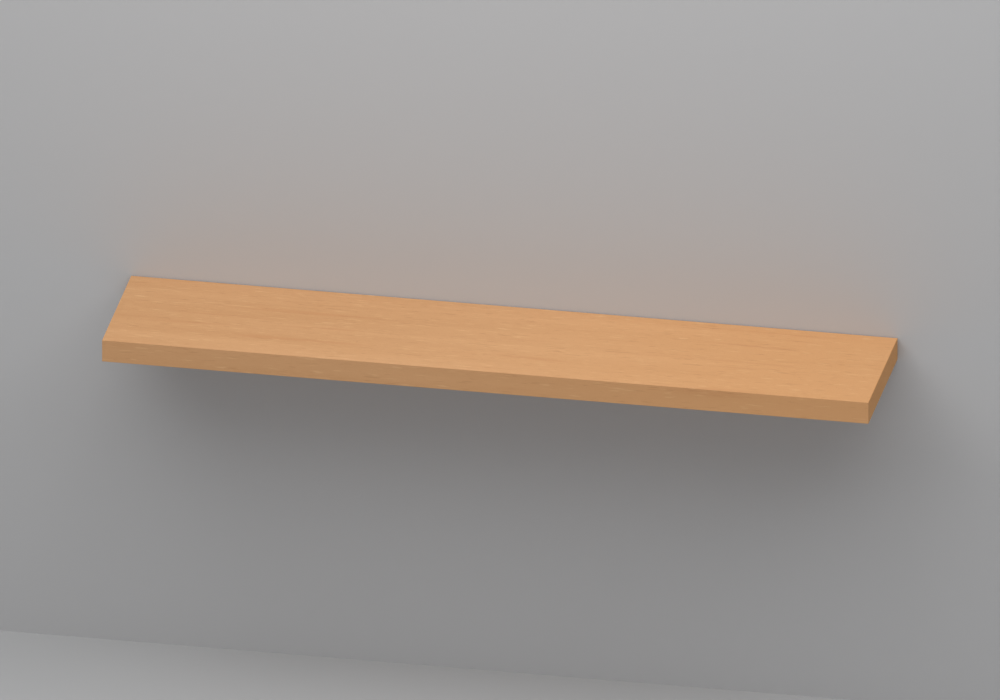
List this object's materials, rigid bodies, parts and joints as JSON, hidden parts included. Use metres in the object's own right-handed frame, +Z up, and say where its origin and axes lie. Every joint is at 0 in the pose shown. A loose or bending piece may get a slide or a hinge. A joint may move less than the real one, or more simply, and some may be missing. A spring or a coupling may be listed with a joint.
{
  "type": "floating wall shelf",
  "caption": "Straight floating wall shelf: a hollow beech-veneered board that slides onto steel rods of a hidden wall rail and locks from below.",
  "frame": {"origin": "centre of the wall rail's back face, on the wall", "axes": "+X along the shelf to its right end, +Y into the wall, +Z up"},
  "size_m": [1, 0.2302, 0.03],
  "materials": {
    "beech_veneer": "satin lacquered beech veneer, 0.6 mm",
    "beech_edge": "satin lacquered beech edging, 1 mm",
    "fibreboard": "raw high-density fibreboard, 4 mm",
    "core_timber": "sawn spruce",
    "dowel_timber": "compressed beech dowel",
    "honeycomb_paper": "expanded brown kraft paper",
    "zinc_steel": "bright zinc-plated steel",
    "dark_steel": "blackened high-tensile steel"
  },
  "bodies": {
    "wall_bracket": {"wall_rail": "zinc_steel", "support_rod_1": "zinc_steel", "support_rod_2": "zinc_steel", "support_rod_3": "zinc_steel", "support_rod_4": "zinc_steel", "rod_screw_1": "dark_steel", "rod_screw_2": "dark_steel", "rod_screw_3": "dark_steel", "rod_screw_4": "dark_steel", "wall_screw_1": "zinc_steel", "wall_screw_2": "zinc_steel", "wall_screw_3": "zinc_steel", "wall_screw_4": "zinc_steel", "wall_screw_5": "zinc_steel", "wall_screw_6": "zinc_steel"},
    "shelf": {"top_veneer": "beech_veneer", "bottom_veneer": "beech_veneer", "front_edge_band": "beech_edge", "left_edge_band": "beech_edge", "right_edge_band": "beech_edge", "top_panel": "fibreboard", "bottom_panel": "fibreboard", "front_rail": "core_timber", "rear_rail": "core_timber", "mid_rail": "core_timber", "left_end_rail": "core_timber", "right_end_rail": "core_timber", "dowel_front_left": "dowel_timber", "dowel_front_right": "dowel_timber", "dowel_mid_left": "dowel_timber", "dowel_mid_right": "dowel_timber", "dowel_rear_left": "dowel_timber", "dowel_rear_right": "dowel_timber", "honeycomb_1": "honeycomb_paper", "honeycomb_2": "honeycomb_paper", "honeycomb_3": "honeycomb_paper", "honeycomb_4": "honeycomb_paper", "honeycomb_5": "honeycomb_paper", "threaded_insert_left": "zinc_steel", "threaded_insert_right": "zinc_steel"},
    "locking_screw_left": {"locking_screw_left": "dark_steel"},
    "locking_screw_right": {"locking_screw_right": "dark_steel"}
  },
  "joints": [
    {"name": "shelf_slide", "type": "slide", "parent": "wall_bracket", "child": "shelf", "axis": [0, -1, 0], "range_m": [0, 0.14]},
    {"name": "lock_left", "type": "slide", "parent": "shelf", "child": "locking_screw_left", "axis": [0, 0, -1], "range_m": [0, 0.003]},
    {"name": "lock_right", "type": "slide", "parent": "shelf", "child": "locking_screw_right", "axis": [0, 0, -1], "range_m": [0, 0.003]}
  ]
}
